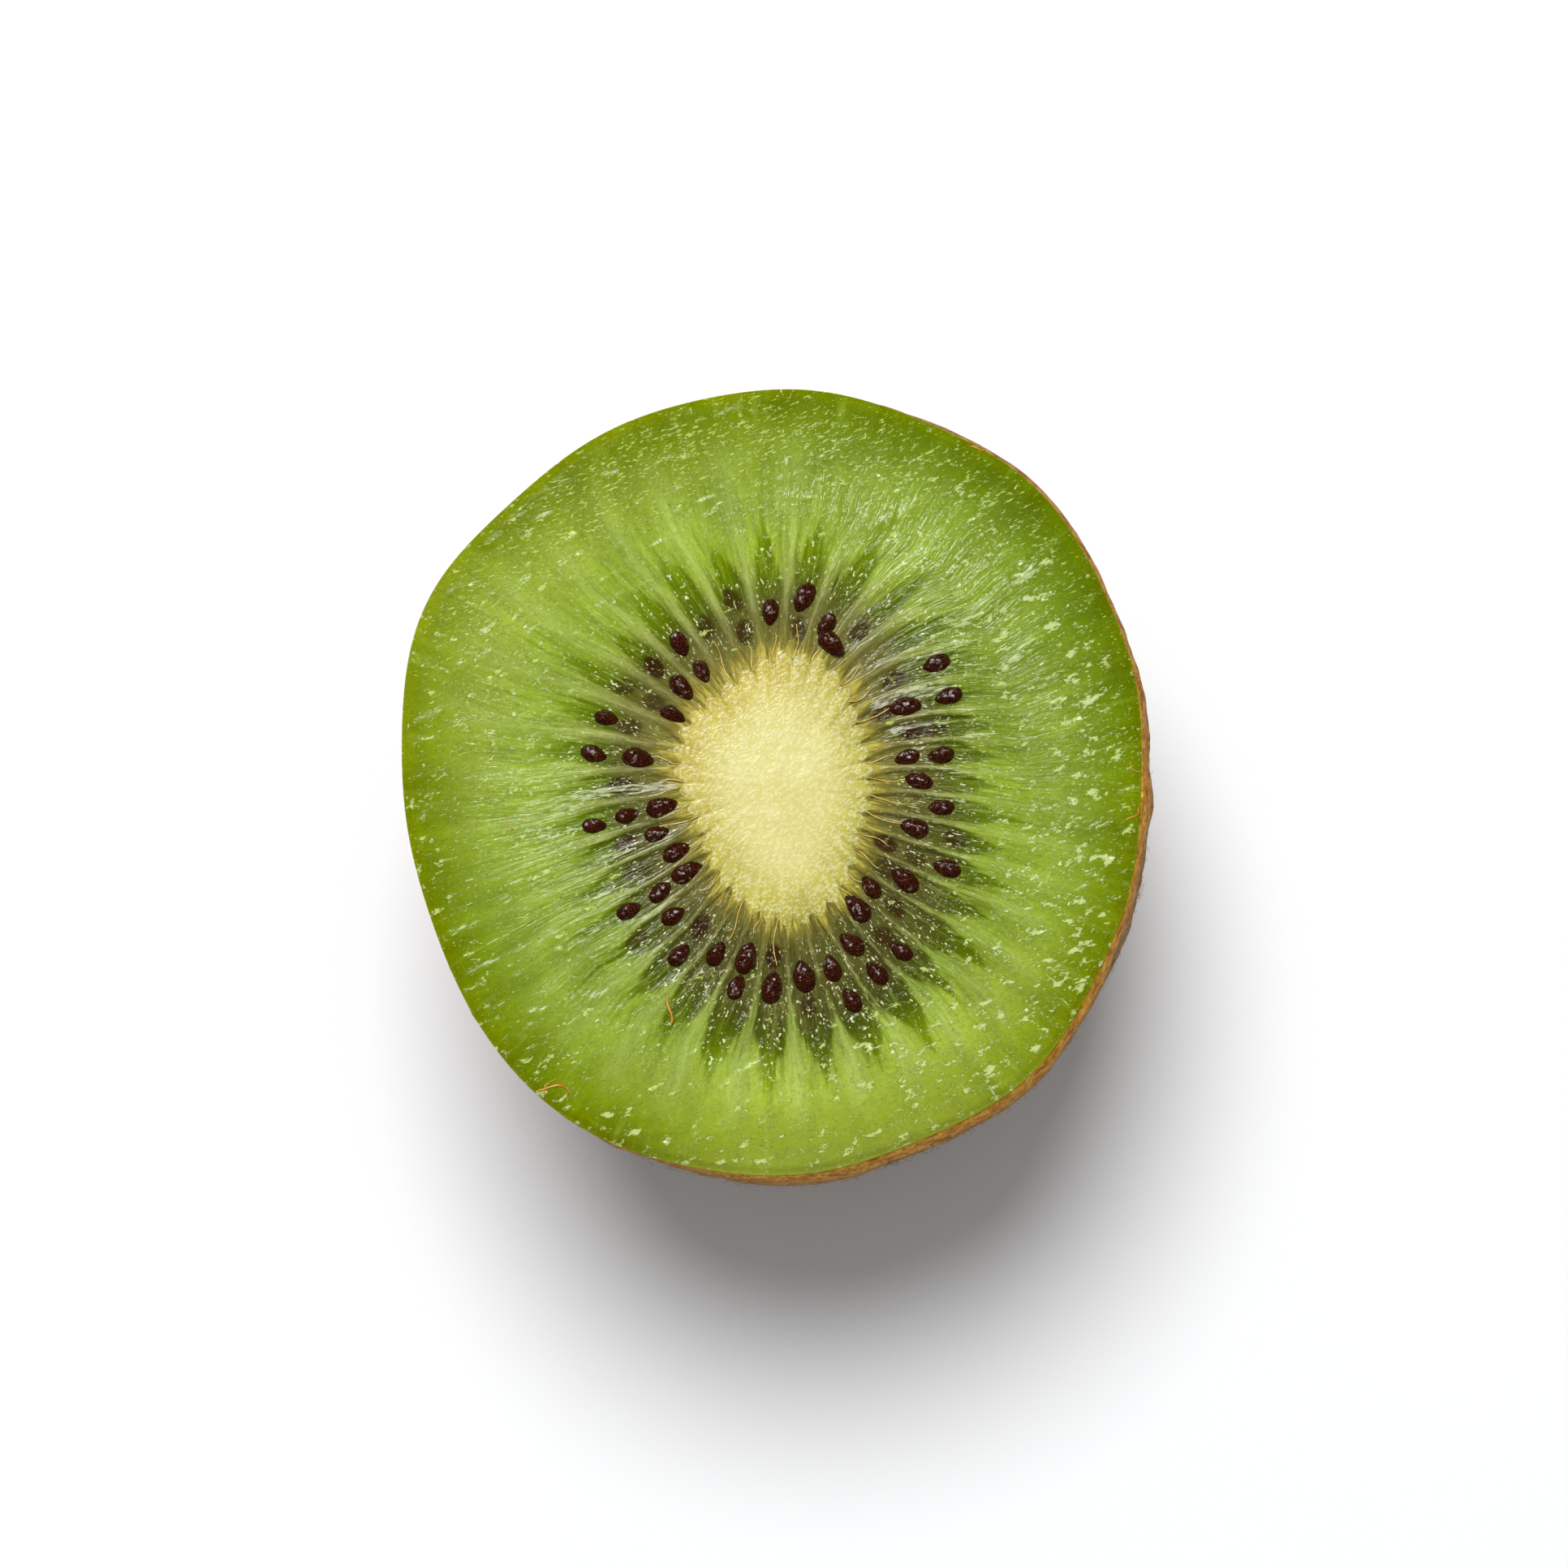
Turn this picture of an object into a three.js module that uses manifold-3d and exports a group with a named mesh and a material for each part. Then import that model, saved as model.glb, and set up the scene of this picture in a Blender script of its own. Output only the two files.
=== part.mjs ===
// Half of a green kiwi fruit, cut across its middle and standing on its stem end with the cut face up.
//
// The half is two solids. The flesh is the fuzzy-skinned fruit wall with its locules, the juicy chambers
// that ring the core, and the seeds that show at the cut are fused to it. The core is the pale spindle
// that runs down through the flesh. Millimetres, +Z up; the origin is the middle of the footprint, and
// the front of the fruit is towards -Y.

import * as THREE from "three";
import { mergeVertices } from "three/addons/utils/BufferGeometryUtils.js";
import Module from "manifold-3d";

// ---------------------------------------------------------------- driving dimensions, mm and degrees

const HALF_HEIGHT = 33; // from the resting spot up to the cut
const FACE_RADIUS = 25.6; // mean, out from the core's middle to the edge of the cut
const CORE_RADIUS = 7.3; // mean, at the cut
const CORE_DEPTH = 28; // from the cut down to the core's tip
const CORE_GAP = 0.3; // free width kept between the core and the flesh
const REST_RADIUS = 6; // of the flat spot the fruit stands on
const SCAR_RADIUS = 3; // of the stem scar's dimple in that spot
const SCAR_DEPTH = 1;
const CHEEK = 1.5; // how far the fruit's fuller side, towards +X, swells out below the cut

// Slow swells of an outline: how many round the fruit, how far out each one goes, and where it peaks.
const FACE_SWELLS = [
  [1, 0.9, 106],
  [2, 0.9, 89],
  [3, 0.2, 35],
  [4, 0.3, -34],
  [5, 0.15, 20],
];
const CORE_SWELLS = [
  [1, 0.2, 56],
  [2, 1.3, 94],
  [3, 0.45, 46],
  [4, 0.3, -8],
  [5, 0.2, 3],
];
const SKIN_SWELLS = [
  [3, 0.25, 50],
  [5, 0.15, 12],
  [7, 0.1, 75],
];

const LOCULES = 36;
const FIRST_LOCULE = 5.9; // where the first would lie if all were evenly spaced
const CROWDING = [
  [1, 4.75, -141],
  [2, 1.6, 31],
];
// Locules and ribs point across the oblong core rather than straight out from its middle. These are
// degrees of turn from the core to the skin.
const LEAN = 3;
const LEAN_SWELLS = [
  [1, 7, 20],
  [2, 18, 46],
  [3, 5, 20],
  [4, 4, -37],
];
const LEAN_PIVOT = 0.2; // share of the way out where a leaning locule keeps its place
const LEAN_END = 0.55; // and where the leaning stops

const LOCULE_SINK = 0.35; // how far a locule's floor lies below the ribs beside it
const CORE_SCALLOP = 0.25; // how far the core juts out between two locules
const CORE_CROWN = 0.25; // how far the middle of the core stands over the cut
const RIM_DROP = 0.35; // how far the cut rounds over where it meets the skin

// The seeds of each locule in turn, from the core outwards: the further along the alphabet a seed's
// letter, the further out it lies, and a capital is a large seed.
const SEED_ROWS =
  "d cf - Dh h - - c E d - - be B a f Cg - Beh c B Beh e g e Dg F E ei Dh Bh b E h D f";
const SEED_LETTERS = "abcdefghi";
const FIRST_SEED_SHARE = 0.07; // of the way from the core to the skin, for letter a
const SEED_SHARE_STEP = 0.04; // more for each letter after it
const SEED = { length: 1.85, width: 1.15, height: 0.95 };
const LARGE_SEED = 1.18; // times an ordinary one
const SEED_SINK = 0.1; // a seed's middle lies this far below the flesh round it
const LOOSE_SEED = { place: 6.45, share: 0.07, turn: 80 }; // one seed that the knife pulled askew

// ---------------------------------------------------------------- resolution

const COLUMNS_PER_LOCULE = 4;
const FACE_COLUMNS = LOCULES * COLUMNS_PER_LOCULE;
const BODY_COLUMNS = FACE_COLUMNS / 2;
const BASE_COLUMNS = BODY_COLUMNS / 2;
const FACE_SHARES = [0, 0.05, 0.11, 0.18, 0.26, 0.35, 0.44, 0.53, 0.64, 0.8, 0.93, 0.98, 1];
const BODY_SHARES = [0.04, 0.1, 0.18, 0.28, 0.39, 0.5, 0.61, 0.71, 0.8, 0.88, 0.94, 0.98];
const CORE_SHARES = [0.1, 0.3, 0.5, 0.7, 0.85, 0.95];
const CORE_TOP_SHARES = [0.35, 0.7, 0.92, 1];

// ---------------------------------------------------------------- small helpers

const TURN = 2 * Math.PI;
const radians = (degrees) => (degrees * Math.PI) / 180;
const mix = (a, b, share) => a + (b - a) * share;
const smoothstep = THREE.MathUtils.smoothstep;

/** A repeatable number from 0 to 1 for thing i and purpose k. */
function draw(i, k) {
  const x = Math.sin(i * 12.9898 + k * 78.233) * 43758.5453;
  return x - Math.floor(x);
}

/** The sum of an outline's swells at an angle. */
function swells(list, angle) {
  let sum = 0;
  for (const [count, reach, peak] of list) {
    sum += reach * Math.cos(count * (angle - radians(peak)));
  }
  return sum;
}

// ---------------------------------------------------------------- the fruit's outlines and locules

const faceRadius = (angle) => FACE_RADIUS + swells(FACE_SWELLS, angle);
const coreRadius = (angle) => CORE_RADIUS + swells(CORE_SWELLS, angle);

/**
 * The angle of a place counted in locules, where whole numbers are locules and halves the ribs between
 * them, at a share of the way from the core to the skin.
 */
function columnAngle(place, share) {
  const even = (place / LOCULES) * TURN;
  const angle = even + radians(FIRST_LOCULE + swells(CROWDING, even));
  const lean = radians(LEAN + swells(LEAN_SWELLS, angle));
  return angle + lean * (LEAN_PIVOT - Math.min(share, LEAN_END));
}

/** How far out locule k's pointed end reaches, as a share of the way from the core to the skin. */
const loculeTip = (k) => 0.47 + 0.13 * draw(k % LOCULES, 2);

/** Height of the cut face over the cut plane: sunken locules, raised ribs and a rounded rim. */
function faceHeight(place, share) {
  const k = Math.round(place);
  const offCentre = Math.abs(place - k) * 2; // 0 in the middle of a locule, 1 on a rib
  const tip = loculeTip(k);
  const along = smoothstep(share, -0.02, 0.08) * (1 - smoothstep(share, 0.2, tip));
  const across = 1 - smoothstep(offCentre, 0.35, 0.95);
  const rim = RIM_DROP * smoothstep(share, 0.95, 1) ** 2;
  const angle = columnAngle(place, share);
  const waves = 0.12 * Math.sin(3 * angle + 9 * share) * smoothstep(share, 0.3, 0.7);
  return waves - LOCULE_SINK * along * across - rim;
}

// ---------------------------------------------------------------- closed bodies from rings

/** A ring of points; at(place) gives the point for a column, counted in locules. */
function ring(columns, at) {
  return Array.from({ length: columns }, (_, i) => at((i / columns) * LOCULES));
}

/** The closed body through a list of rings, the first and last of them single points, faces outwards. */
function bodyThrough(rings) {
  const positions = rings.flat().flatMap((p) => [p.x, p.y, p.z]);
  const triangles = [];
  let start = 0;
  for (let r = 0; r + 1 < rings.length; r++) {
    const inner = rings[r].length;
    const outer = rings[r + 1].length;
    const a = (i) => start + (i % inner);
    const b = (j) => start + inner + (j % outer);
    let i = 0;
    let j = 0;
    while ((inner > 1 && i < inner) || (outer > 1 && j < outer)) {
      const stepInner = inner > 1 && (outer === 1 || (i + 1) * outer <= (j + 1) * inner);
      if (stepInner) triangles.push(a(i), b(j), a(++i));
      else triangles.push(a(i), b(j), b(++j));
    }
    start += inner;
  }
  const geometry = new THREE.BufferGeometry();
  geometry.setAttribute("position", new THREE.Float32BufferAttribute(positions, 3));
  geometry.setIndex(triangles);
  return geometry;
}

/** A point of the face at a column and a share of the way from the core's edge to the skin. */
function facePoint(place, share, gap = 0) {
  const angle = columnAngle(place, share);
  const scallop = CORE_SCALLOP * Math.cos(TURN * place);
  const core = coreRadius(angle) - scallop + gap;
  const radius = mix(core, faceRadius(angle), share);
  const height = HALF_HEIGHT + faceHeight(place, share);
  return new THREE.Vector3(radius * Math.cos(angle), radius * Math.sin(angle), height);
}

// ---------------------------------------------------------------- the flesh, with skin and stem scar

/** How wide the fruit is at a share of its depth, against the cut: a blunt egg's end. */
function bodyWidth(depthShare) {
  const blunt = 2.25;
  const restWidth = REST_RADIUS / FACE_RADIUS;
  const reach = (1 - restWidth ** blunt) ** (1 / blunt); // the flat spot cuts the egg's end off here
  return (1 - (depthShare * reach) ** blunt) ** (1 / blunt);
}

/** A point of the skin at a column and a share of the depth, from the cut's edge down to the flat spot. */
function skinPoint(place, depthShare) {
  const angle = columnAngle(place, 1);
  const roundness = smoothstep(depthShare, 0.1, 1);
  const outline = mix(faceRadius(angle), FACE_RADIUS, roundness);
  const bumps = swells(SKIN_SWELLS, angle + 2 * depthShare) * Math.sin(Math.PI * depthShare);
  const radius = outline * bodyWidth(depthShare) + bumps;
  const shift = CHEEK * Math.sin(Math.PI * depthShare);
  const top = HALF_HEIGHT + faceHeight(place, 1);
  return new THREE.Vector3(
    radius * Math.cos(angle) + shift,
    radius * Math.sin(angle),
    top * (1 - depthShare),
  );
}

/** A round ring of the underside, of a given radius and height. */
function baseRing(columns, radius, height) {
  return ring(columns, (place) => {
    const angle = columnAngle(place, 1);
    return new THREE.Vector3(radius * Math.cos(angle), radius * Math.sin(angle), height);
  });
}

/** How wide the core is at a share of its depth, against the cut: a spindle's lower half. */
const coreWidth = (depthShare) => Math.cos((Math.PI / 2) * depthShare ** 1.3) ** 0.8;

/** A point on the core's side, or with a gap on the wall of the flesh round it. */
function coreSidePoint(place, depthShare, gap) {
  const angle = columnAngle(place, 0);
  const outline = mix(coreRadius(angle), CORE_RADIUS, depthShare);
  const radius = outline * coreWidth(depthShare) + gap;
  const height = HALF_HEIGHT - (CORE_DEPTH + gap) * depthShare;
  return new THREE.Vector3(radius * Math.cos(angle), radius * Math.sin(angle), height);
}

const coreTip = (gap) => new THREE.Vector3(0, 0, HALF_HEIGHT - CORE_DEPTH - gap);

function fleshGeometry() {
  const pocketWall = [...CORE_SHARES]
    .reverse()
    .map((share) => ring(BODY_COLUMNS, (place) => coreSidePoint(place, share, CORE_GAP)));
  const face = FACE_SHARES.map((share) =>
    ring(FACE_COLUMNS, (place) => facePoint(place, share, CORE_GAP)),
  );
  const skin = BODY_SHARES.map((share) => ring(BODY_COLUMNS, (place) => skinPoint(place, share)));
  const stalk = SCAR_RADIUS / 2;
  const underside = [
    baseRing(BASE_COLUMNS, REST_RADIUS, 0),
    baseRing(BASE_COLUMNS, SCAR_RADIUS, 0),
    baseRing(BASE_COLUMNS / 2, SCAR_RADIUS * 0.75, SCAR_DEPTH),
    baseRing(BASE_COLUMNS / 2, stalk, SCAR_DEPTH),
    baseRing(BASE_COLUMNS / 2, stalk * 0.8, SCAR_DEPTH / 2),
    [new THREE.Vector3(0, 0, SCAR_DEPTH / 2)],
  ];
  return bodyThrough([[coreTip(CORE_GAP)], ...pocketWall, ...face, ...skin, ...underside]);
}

// ---------------------------------------------------------------- the core

function coreGeometry() {
  const top = CORE_TOP_SHARES.map((share) =>
    ring(share === 1 ? FACE_COLUMNS : BODY_COLUMNS, (place) => {
      const edge = facePoint(place, 0);
      const crown = CORE_CROWN * (1 - share ** 2);
      return new THREE.Vector3(
        edge.x * share,
        edge.y * share,
        mix(HALF_HEIGHT, edge.z, share ** 4) + crown,
      );
    }),
  );
  const middle = new THREE.Vector3(0, 0, HALF_HEIGHT + CORE_CROWN);
  const side = CORE_SHARES.map((share) =>
    ring(BODY_COLUMNS, (place) => coreSidePoint(place, share, 0)),
  );
  return bodyThrough([[middle], ...top, ...side, [coreTip(0)]]);
}

// ---------------------------------------------------------------- seeds

/** A seed lying flat with its pointed end towards -X: a six-sided teardrop about its own middle. */
function seedGeometry() {
  const profile = [
    [0, -1],
    [0.62, -0.52],
    [1, 0.12],
    [0.66, 0.76],
    [0, 1],
  ].map(([radius, along]) => new THREE.Vector2(radius, along));
  const geometry = new THREE.LatheGeometry(profile, 6);
  geometry.rotateZ(-Math.PI / 2);
  return geometry.scale(SEED.length / 2, SEED.width / 2, SEED.height / 2);
}

/** Every seed that shows: where it lies, how far it is turned out of its row and how large it is. */
function seedsThatShow() {
  const seeds = [{ ...LOOSE_SEED, size: LARGE_SEED }];
  SEED_ROWS.split(" ").forEach((row, k) => {
    [...row].forEach((letter, i) => {
      const step = SEED_LETTERS.indexOf(letter.toLowerCase());
      if (step < 0) return;
      const number = k * SEED_LETTERS.length + i;
      const large = letter !== letter.toLowerCase();
      seeds.push({
        place: k + 0.12 * (draw(number, 3) - 0.5),
        share: FIRST_SEED_SHARE + SEED_SHARE_STEP * (step + 0.3 * (draw(number, 4) - 0.5)),
        turn: 30 * (draw(number, 5) - 0.5),
        size: (large ? LARGE_SEED : 1) * (0.92 + 0.16 * draw(number, 6)),
      });
    });
  });
  return seeds;
}

/** A seed laid in the cut, its pointed end towards the core. */
function placedSeed({ place, share, turn, size }) {
  const at = facePoint(place, share);
  const outwards = facePoint(place, share + 0.05).sub(at);
  const geometry = seedGeometry().scale(size, size, size);
  geometry.rotateZ(Math.atan2(outwards.y, outwards.x) + radians(turn));
  return geometry.translate(at.x, at.y, at.z - SEED_SINK);
}

// ---------------------------------------------------------------- joining solids

const wasm = await Module();
wasm.setup();

/** The closed solid of a geometry. */
function solidOf(geometry) {
  const bare = geometry.clone();
  bare.deleteAttribute("normal");
  bare.deleteAttribute("uv");
  const merged = mergeVertices(bare, 1e-4);
  const mesh = new wasm.Mesh({
    numProp: 3,
    vertProperties: merged.attributes.position.array,
    triVerts: new Uint32Array(merged.index.array),
  });
  return new wasm.Manifold(mesh);
}

/** The geometry of a solid. */
function geometryOf(solid) {
  const { vertProperties, triVerts } = solid.getMesh();
  const geometry = new THREE.BufferGeometry();
  geometry.setAttribute("position", new THREE.BufferAttribute(vertProperties, 3));
  geometry.setIndex(new THREE.BufferAttribute(triVerts, 1));
  geometry.computeVertexNormals();
  return geometry;
}

// ---------------------------------------------------------------- the part

function namedMesh(name, geometry, colour, roughness) {
  const material = new THREE.MeshStandardMaterial({ color: colour, roughness, metalness: 0 });
  const mesh = new THREE.Mesh(geometry, material);
  mesh.name = name;
  return mesh;
}

let flesh = solidOf(fleshGeometry());
for (const seed of seedsThatShow()) {
  flesh = flesh.add(solidOf(placedSeed(seed)));
}
const core = solidOf(coreGeometry());

const kiwi = new THREE.Group();
kiwi.add(namedMesh("flesh", geometryOf(flesh), 0x92a93c, 0.3));
kiwi.add(namedMesh("core", geometryOf(core), 0xe6dd98, 0.5));

// The outlines are drawn round the core's middle, so the whole is moved to stand centred on the origin.
const footprint = new THREE.Box3().setFromObject(kiwi).getCenter(new THREE.Vector3());
kiwi.position.set(-footprint.x, -footprint.y, 0);

export default kiwi;
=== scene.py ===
# Dresses half of a green kiwi fruit for the render: its cut face with locules and seeds, its core, its
# fuzzy skin, and a pale floor with soft daylight from the upper left.
#
# Sizes are millimetres, and the core's middle is x = y = 0, until a mesh is made: meshes are in the
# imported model's own frame, in metres. A "place" counts locules round the core, so that whole numbers
# are locules and halves the ribs between them. A "share" is how far out a point of the cut lies, from
# 0 at the core to 1 at the skin.

import math

import bpy
import numpy as np
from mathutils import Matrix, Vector


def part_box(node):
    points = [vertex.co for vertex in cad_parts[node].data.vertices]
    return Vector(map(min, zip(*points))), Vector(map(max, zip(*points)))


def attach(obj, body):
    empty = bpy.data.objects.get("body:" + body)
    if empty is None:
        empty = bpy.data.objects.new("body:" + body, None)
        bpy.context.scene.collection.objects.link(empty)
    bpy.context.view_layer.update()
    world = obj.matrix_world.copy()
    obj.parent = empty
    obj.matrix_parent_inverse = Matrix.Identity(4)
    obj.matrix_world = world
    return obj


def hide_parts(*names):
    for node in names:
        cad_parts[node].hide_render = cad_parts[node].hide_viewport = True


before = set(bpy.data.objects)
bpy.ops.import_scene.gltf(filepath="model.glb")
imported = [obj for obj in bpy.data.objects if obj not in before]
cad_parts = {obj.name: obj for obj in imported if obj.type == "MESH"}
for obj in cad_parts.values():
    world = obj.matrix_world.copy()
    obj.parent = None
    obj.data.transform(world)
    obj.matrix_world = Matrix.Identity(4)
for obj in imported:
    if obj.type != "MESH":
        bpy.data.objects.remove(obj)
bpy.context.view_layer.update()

MM = 0.001
TURN = 2 * math.pi

# ---- sizes of the solids, mm and degrees

FACE_RADIUS = 25.6
CORE_RADIUS = 7.3
CORE_CROWN = 0.25
CORE_TIP = min(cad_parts["core"].data.vertices, key=lambda v: v.co.z).co / MM
CUT_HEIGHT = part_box("core")[1].z / MM - CORE_CROWN
CORE_DEPTH = CUT_HEIGHT - CORE_TIP.z
REST_RADIUS = 6
SCAR_RADIUS = 3
SCAR_DEPTH = 1
CHEEK = 1.5

# Slow swells of an outline, as (how many go round it, reach, degrees of a crest).
FACE_SWELLS = [(1, 0.9, 106), (2, 0.9, 89), (3, 0.2, 35), (4, 0.3, -34), (5, 0.15, 20)]
CORE_SWELLS = [(1, 0.2, 56), (2, 1.3, 94), (3, 0.45, 46), (4, 0.3, -8), (5, 0.2, 3)]
SKIN_SWELLS = [(3, 0.25, 50), (5, 0.15, 12), (7, 0.1, 75)]
KNIFE_SWELLS = [(6, 0.06, -21), (7, 0.07, 0), (8, 0.04, 8), (9, 0.05, -7), (10, 0.06, 15), (11, 0.08, -15)]

# How the locules lie round the core, and lean: they cross the straight way out at LEAN_PIVOT, and are
# straight beyond LEAN_END.
LOCULES = 36
FIRST_LOCULE = 5.9
CROWDING = [(1, 4.75, -141), (2, 1.6, 31)]
LEAN = 3
LEAN_SWELLS = [(1, 7, 20), (2, 18, 46), (3, 5, 20), (4, 4, -37)]
LEAN_PIVOT = 0.2
LEAN_END = 0.55

# The share that the shortest locules reach, and the width of the narrowest as a share of their room.
TIP_SHARE = 0.52
TIP_SWELLS = [(1, 0.12, -70), (2, 0.05, 90)]
LOCULE_WIDTH = 0.72
LOCULE_SINK = 0.25
CORE_SCALLOP = 0.25
RIM_DROP = 0.35
WAVE_HEIGHT = 0.12

# The steps outwards at which a seed lies, for each locule: a capital is a large seed. SUNK_ROWS are the
# seeds just under the surface, and LOOSE_SEED is out of its row, as (place, share, turn, size).
SEED_ROWS = "d cf - Dh h - - c E d - - be B a f Cg - Beh c B Beh e g e Dg F E ei Dh Bh b E h D f"
SUNK_ROWS = "- - df b d - d - b - cf e - e cf d - e - f f - i d - - c h - - f e c be h -"
SEED_LETTERS = "abcdefghi"
FIRST_SUNK_NUMBER = 500
FIRST_SEED_SHARE = 0.07
SEED_SHARE_STEP = 0.04
SEED_LENGTH, SEED_WIDTH, SEED_HEIGHT = 1.85, 1.15, 0.95
LARGE_SEED = 1.18
SEED_SINK = 0.1
LOOSE_SEED = (6.45, 0.07, 80, LARGE_SEED)

# ---- sizes of what only the render shows

# Locules whose seed stalks show, and loose fibres on the cut as (x, y, length, thickness, turn).
STALKS = "xx-xxx-xxxxx----xx-xx-xxxxx---xxxxxx"
CRUMBS = [
    (-7.0, -14.8, 1.7, 0.17, 75),
    (-14.4, -20.1, 2.2, 0.15, -20),
    (-14.8, -19.8, 1.3, 0.08, 65),
    (13.4, 23.1, 1.0, 0.12, 10),
    (23.5, -1.8, 1.2, 0.12, 60),
    (23.7, 1.3, 1.1, 0.08, -45),
    (-17.5, -2.7, 0.35, 0.12, 90),
]

# Torn, white streaks on the cut, painted partly as the reflection on their wet film: (middle angle, share
# from, share to, width, whiteness).
MEMBRANES = [
    (4, 0.25, 0.45, 0.5, 0.8),
    (6, 0.02, 0.6, 0.4, 0.7),
    (13, 0.3, 0.62, 0.5, 0.8),
    (15.5, 0.15, 0.27, 0.5, 0.7),
    (21, 0.33, 0.6, 0.5, 0.7),
    (24, 0.1, 0.34, 0.6, 1.0),
    (30, 0.3, 0.76, 0.6, 0.8),
    (35, 0.06, 0.4, 0.7, 1.0),
    (41, 0.18, 0.5, 0.6, 0.9),
    (41, 0.45, 0.88, 0.6, 0.75),
    (48, 0.12, 0.42, 0.5, 0.8),
    (61, 0.1, 0.18, 0.6, 0.8),
    (181, 0.02, 0.45, 0.7, 1.0),
    (186, 0.33, 0.52, 0.5, 0.8),
    (192, 0.38, 0.58, 0.6, 1.0),
    (203, 0.2, 0.42, 0.5, 0.8),
    (206, 0.08, 0.2, 0.6, 0.8),
    (213, 0.22, 0.45, 0.5, 0.9),
    (219, 0.38, 0.52, 0.4, 0.8),
    (227, 0.15, 0.34, 0.5, 0.8),
    (248, 0.3, 0.4, 0.5, 0.7),
    (339, 0.22, 0.45, 0.4, 0.6),
    (345, 0.05, 0.2, 0.4, 0.8),
    (352, 0.1, 0.22, 0.4, 0.8),
    (356, 0.18, 0.38, 0.4, 0.8),
]

# Heights of the cut's fine relief, and directions of the knife's waves, its flecks and the core's grain.
MEMBRANE_HEIGHT = 0.06
KNIFE_WAVE_HEIGHT = 0.05
TEAR_HEIGHT = 0.06
RIDGE_HEIGHT = 0.022
FIBRE_HEIGHT = 0.012
GRAIN_HEIGHT = 0.015
KNIFE_TURN = 25
FLECK_TURN = 24
GRAIN_TURN = 22
PALE_GRAIN_TURN = 35

# Values at every 30 degrees: how torn the cut is in large flecks, in large flecks at the rim, in small
# flecks and in ridges along the locules, how wide the locules look near the core, how bright the cut is
# there, and how light it is further out. The flecks are pale torn flesh and partly painted glints.
LARGE_TEARS = [0.8, 0.9, 0.7, 0.3, 0.15, 0.35, 0.45, 0.4, 0.3, 0.4, 0.85, 0.9]
RIM_TEARS = [0.6, 0.3, 0.1, 0.1, 0.15, 0.4, 0.5, 0.6, 0.7, 0.75, 0.8, 0.8]
SMALL_TEARS = [0.7, 0.7, 0.95, 1.15, 1.2, 0.9, 0.6, 0.5, 0.4, 0.4, 0.6, 0.7]
RIDGES = [0.6, 1.0, 0.8, 0.3, 0.3, 0.4, 0.5, 0.4, 0.25, 0.2, 0.3, 0.4]
HOLLOWS = [1.2, 1.3, 0.75, 0.95, 1.0, 0.85, 1.0, 1.1, 1.2, 1.3, 1.35, 1.3]
INNER_LIGHT = [1.08, 0.82, 1.12, 1.08, 1.03, 1.08, 0.95, 0.92, 0.85, 0.77, 0.7, 0.85]
LIGHTNESS = [-0.25, -0.9, -0.75, -0.15, 0.25, 0.55, 0.35, -0.2, 0.15, 1.25, 0.9, 0.15]

# Values at every 30 degrees: how golden the core's edge is, how far the skin bulges under the cut in
# mm, and how golden it is there. SKIN_FLAP is where a flap of skin stands out, as (angle, depth, reach,
# half its width in degrees, half its height as a share of the depth).
CORE_GOLD = [0.0, 0.1, 0.4, 0.8, 1.0, 1.0, 0.9, 0.7, 0.4, 0.3, 0.2, 0.0]
SKIN_BULGE = [0.2, 0.25, 0.42, 0.1, 0.2, 0.12, 0.05, 0.0, 0.05, 0.1, 0.12, 0.25]
SKIN_GOLD = [0.85, 0.5, 0.25, 0.2, 0.2, 0.2, 0.2, 0.2, 0.4, 0.8, 1.0, 0.95]
SKIN_FLAP = (-1, 0.12, 0.35, 4, 0.1)

# The skin, and the gap that keeps meshes apart where they meet.
SKIN_THICKNESS = 0.15
FIT = 0.02

# How bright a white surface is on the cut, on the side and close under the cut, and how much light the
# wet surface adds to any colour.
DAYLIGHT = 1.15
SIDE_LIGHT = 0.8
SHADE_LIGHT = 0.55
SHEEN = 0.006
SKY = (0.05, 0.055, 0.06, 1)
COOL_WHITE = (0.98, 0.99, 1.0)

# Lights as (name, direction, half of the angle that it fills, watts, what it is left out of): two light
# the fruit, and two only glint on what is wet.
LIGHTS = [
    ("window", (108, 68), 15, 14.4, "visible_glossy"),
    ("ceiling", (0, 90), 60, 14.5, "visible_glossy"),
    ("glint_window", (115, 50), 14, 12, "visible_diffuse"),
    ("glint_lamp", (113, 54), 4.5, 1.2, "visible_diffuse"),
]

# ---- small helpers


def swells(table, angle):
    """The sum of an outline's slow swells at an angle."""
    return sum(reach * np.cos(count * (angle - math.radians(peak))) for count, reach, peak in table)


def step(x, low, high):
    """A smooth step from 0 at a low value to 1 at a high one."""
    t = np.clip((x - low) / (high - low), 0, 1)
    return t * t * (3 - 2 * t)


def mix(a, b, share):
    return a + (b - a) * share


HASH_SCALE = 43758.5453


def draw(i, k):
    """A repeatable number from 0 to 1 for thing i and purpose k, the same as the solids use."""
    x = np.sin(i * 12.9898 + k * 78.233) * HASH_SCALE
    return x - np.floor(x)


def noise(x, y, seed, wrap=None):
    """Smooth repeatable noise from -1 to 1, one cell to a unit. It repeats along x after wrap cells."""
    x0, y0 = np.floor(x), np.floor(y)
    fx, fy = step(x - x0, 0, 1), step(y - y0, 0, 1)

    def corner(i, j):
        column = np.mod(x0 + i, wrap) if wrap else x0 + i
        n = np.sin(column * 127.1 + (y0 + j) * 311.7 + seed * 74.7) * HASH_SCALE
        return 2 * (n - np.floor(n)) - 1

    return mix(mix(corner(0, 0), corner(1, 0), fx), mix(corner(0, 1), corner(1, 1), fx), fy)


def fractal(x, y, seed, octaves):
    """Noise with ever finer and weaker detail."""
    return sum(noise(x * 2**n, y * 2**n, seed + n) / 2**n for n in range(octaves))


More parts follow.
